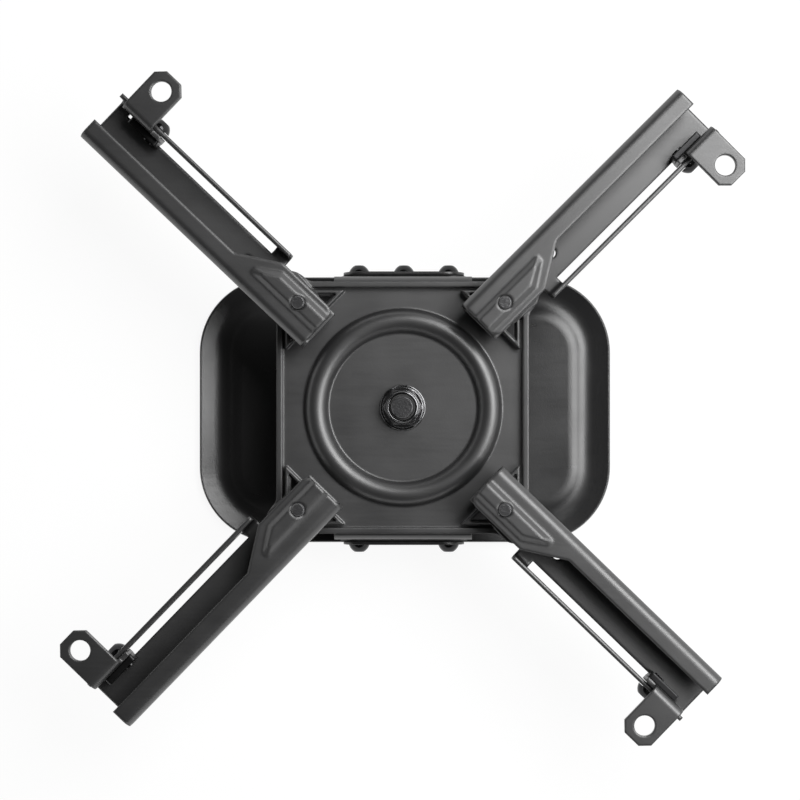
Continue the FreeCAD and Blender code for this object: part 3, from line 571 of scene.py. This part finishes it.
def ringed_mesh(name, rings, sides):
    """Closed skin through rings about Z, from the bore's foot outwards, up and down the bore."""
    points, faces = [], []
    for ring in rings:
        for side in range(sides):
            angle = 2 * math.pi * side / sides
            radius, height = ring(angle) if callable(ring) else ring
            points.append((radius * math.cos(angle), radius * math.sin(angle), height))
    for index in range(len(rings)):
        low, high = index * sides, (index + 1) % len(rings) * sides
        for side in range(sides):
            after = (side + 1) % sides
            faces.append((low + side, low + after, high + after, high + side))
    mesh = bpy.data.meshes.new(name)
    mesh.from_pydata(points, [], faces)
    for polygon in mesh.polygons:
        polygon.use_smooth = True
    mesh.set_sharp_from_angle(angle=NUT_SHARP_ANGLE)
    piece = bpy.data.objects.new(name, mesh)
    bpy.context.scene.collection.objects.link(piece)
    return piece


def rounded_rim(radius, start, rim, steps=8):
    """Rings of a quarter round that turns inward from a wall at the given height."""
    turns = [math.pi / 2 * step / steps for step in range(steps + 1)]
    return [(radius - rim * (1 - math.cos(turn)), start + rim * math.sin(turn)) for turn in turns]


def lock_nut_rings(bottom, top, flats, flange, collar):
    """Rings of a flanged lock nut: rounded flange, chamfered hexagon, collar with a rolled lip."""
    bolt_radius, bore, hex_top = 5.0 * MM, 5.05 * MM, top - 3.0 * MM
    seat = collar - 0.6 * MM
    mouth = (seat + bolt_radius) / 2
    flange_rim, collar_rim, land = 0.5 * MM, 0.7 * MM, 0.12 * MM
    slope = math.tan(math.radians(30))

    def reach(angle):
        return flats / 2 / math.cos(angle % (math.pi / 3) - math.pi / 6)

    def flank(grow, height):
        return lambda angle: (reach(angle) + grow, height)

    def chamfer(angle):
        return reach(angle), hex_top - (reach(angle) - flats / 2 + land) * slope

    return [
        (bore, bottom),
        (flange - flange_rim, bottom),
        (flange - 0.1 * MM, bottom + 0.08 * MM),
        *rounded_rim(flange, bottom + 0.6 * MM, flange_rim),
        *((flange - inward * MM, bottom + upward * MM) for inward, upward in FLANGE_TOP),
        flank(0.05 * MM, bottom + 1.18 * MM),
        flank(0.0, bottom + 1.4 * MM),
        chamfer,
        (flats / 2 - land, hex_top),
        (collar + 0.1 * MM, hex_top - 0.05 * MM),
        (collar, hex_top + 0.12 * MM),
        *rounded_rim(collar, top - collar_rim, collar_rim),
        *((collar - inward * MM, top - downward * MM) for inward, downward in COLLAR_LIP),
        (mouth, top - 0.5 * MM),
        (seat, top - 0.6 * MM),
        (seat, hex_top),
        (bore, hex_top),
    ]


class MOUNT_OT_shape_nut(bpy.types.Operator):
    """Make the flanged lock nut with rounded edges and a rolled collar"""

    bl_idname = "mount.shape_nut"
    bl_label = "Shape the Lock Nut"

    def execute(self, context):
        hardware = context.scene.mount_hardware
        low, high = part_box("swivel_nut")
        rings = lock_nut_rings(
            low.z, high.z, hardware.nut_flats, hardware.nut_flange, hardware.nut_collar)
        piece = ringed_mesh("swivel_nut_rolled", rings, NUT_SIDES)
        piece.data.materials.append(bpy.data.materials["nut_plating_painted_sheen"])
        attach(piece, "tilt_yoke")
        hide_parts("swivel_nut")
        return {"FINISHED"}


def ground_material(color, glow):
    """Grey ground that the camera and reflections see as white, and that still takes a shadow."""
    material = bpy.data.materials.new("white_ground")
    material.use_nodes = True
    tree = material.node_tree
    tree.nodes.clear()
    paint = tree.nodes.new("ShaderNodeBsdfDiffuse")
    paint.inputs["Color"].default_value = (*color, 1)
    path = tree.nodes.new("ShaderNodeLightPath").outputs
    seen = math_node(tree, "MAXIMUM", path["Is Camera Ray"], path["Is Transmission Ray"])
    seen = math_node(tree, "MAXIMUM", seen, path["Is Glossy Ray"])
    light = tree.nodes.new("ShaderNodeEmission")
    tree.links.new(math_node(tree, "MULTIPLY", seen, glow), light.inputs["Strength"])
    both = tree.nodes.new("ShaderNodeAddShader")
    tree.links.new(paint.outputs[0], both.inputs[0])
    tree.links.new(light.outputs[0], both.inputs[1])
    end = tree.nodes.new("ShaderNodeOutputMaterial")
    tree.links.new(both.outputs[0], end.inputs["Surface"])
    return material


def cyclorama(material):
    """Round floor that sweeps up into a wall, just below the part's back face."""
    floor_radius, cove, wall_top, drop = 6.0, 1.5, 3.5, 0.0003
    cove_steps, sides = 12, 96
    profile = [(floor_radius, 0.0)]
    for step in range(1, cove_steps + 1):
        angle = math.pi / 2 * step / cove_steps
        profile.append((floor_radius + cove * math.sin(angle), cove * (1 - math.cos(angle))))
    profile.append((floor_radius + cove, wall_top))
    points, faces = [(0, 0, -drop)], []
    for radius, height in profile:
        for side in range(sides):
            angle = 2 * math.pi * side / sides
            points.append((radius * math.cos(angle), radius * math.sin(angle), height - drop))
    for side in range(sides):
        after = (side + 1) % sides
        faces.append((0, 1 + side, 1 + after))
        for ring in range(len(profile) - 1):
            low, high = 1 + ring * sides, 1 + (ring + 1) * sides
            faces.append((low + side, high + side, high + after, low + after))
    mesh = bpy.data.meshes.new("cyclorama")
    mesh.from_pydata(points, [], faces)
    for polygon in mesh.polygons:
        polygon.use_smooth = True
    mesh.materials.append(material)
    ground = bpy.data.objects.new("cyclorama", mesh)
    bpy.context.scene.collection.objects.link(ground)


def softbox(name, place, size, power):
    """Square area light aimed at the part."""
    data = bpy.data.lights.new(name, "AREA")
    data.shape = "SQUARE"
    data.size = size
    data.energy = power
    lamp = bpy.data.objects.new(name, data)
    bpy.context.scene.collection.objects.link(lamp)
    lamp.location = place
    aim = Vector(LAMP_TARGET) - Vector(place)
    lamp.rotation_euler = aim.to_track_quat("-Z", "Y").to_euler()
    lamp.visible_camera = False


class MOUNT_OT_stage(bpy.types.Operator):
    """Set up the camera, the two softboxes, the even fill and the white ground"""

    bl_idname = "mount.stage"
    bl_label = "Set the Stage"

    def execute(self, context):
        scene = context.scene
        stage = scene.mount_stage
        cyclorama(ground_material(stage.ground_color, stage.ground_glow))
        softbox("key_softbox", stage.key_place, stage.key_size, stage.key_power)
        softbox("side_softbox", stage.side_place, stage.side_size, stage.side_power)
        world = bpy.data.worlds.new("even_fill")
        world.use_nodes = True
        background = world.node_tree.nodes["Background"].inputs
        background["Color"].default_value = (1, 1, 1, 1)
        background["Strength"].default_value = stage.fill_level
        scene.world = world
        data = bpy.data.cameras.new("camera")
        data.lens = stage.camera_lens
        data.sensor_width = SENSOR_WIDTH
        data.shift_x, data.shift_y = stage.camera_shift
        camera = bpy.data.objects.new("camera", data)
        scene.collection.objects.link(camera)
        camera.location = stage.camera_place
        scene.camera = camera
        scene.view_settings.view_transform = "Standard"
        return {"FINISHED"}


STEPS = (
    ("mount_coat", ("mount.coat",)),
    ("mount_hardware", ("mount.plate_hardware", "mount.thread_bolts", "mount.shape_nut")),
    ("mount_stage", ("mount.stage",)),
)


class MOUNT_PT_panel(bpy.types.Panel):
    """Steps that finish the mount"""

    bl_idname = "MOUNT_PT_panel"
    bl_label = "Projector Mount"
    bl_space_type = "VIEW_3D"
    bl_region_type = "UI"
    bl_category = "Mount"

    def draw(self, context):
        layout = self.layout
        for settings, operators in STEPS:
            group = getattr(context.scene, settings)
            for name in group.bl_rna.properties.keys():
                if name not in ("rna_type", "name"):
                    layout.prop(group, name)
            for operator in operators:
                layout.operator(operator)


CLASSES = (
    MountCoat,
    MountHardware,
    MountStage,
    MOUNT_OT_coat,
    MOUNT_OT_plate_hardware,
    MOUNT_OT_thread_bolts,
    MOUNT_OT_shape_nut,
    MOUNT_OT_stage,
    MOUNT_PT_panel,
)


def register():
    for cls in CLASSES:
        bpy.utils.register_class(cls)
    bpy.types.Scene.mount_coat = bpy.props.PointerProperty(type=MountCoat)
    bpy.types.Scene.mount_hardware = bpy.props.PointerProperty(type=MountHardware)
    bpy.types.Scene.mount_stage = bpy.props.PointerProperty(type=MountStage)


def unregister():
    del bpy.types.Scene.mount_stage
    del bpy.types.Scene.mount_hardware
    del bpy.types.Scene.mount_coat
    for cls in reversed(CLASSES):
        bpy.utils.unregister_class(cls)


def main():
    register()
    rounded_edge_group()
    coat_ripple_group()
    handling_group()
    bpy.ops.mount.coat()
    bpy.ops.mount.plate_hardware()
    bpy.ops.mount.thread_bolts()
    bpy.ops.mount.shape_nut()
    bpy.ops.mount.stage()


if __name__ == "__main__":
    main()
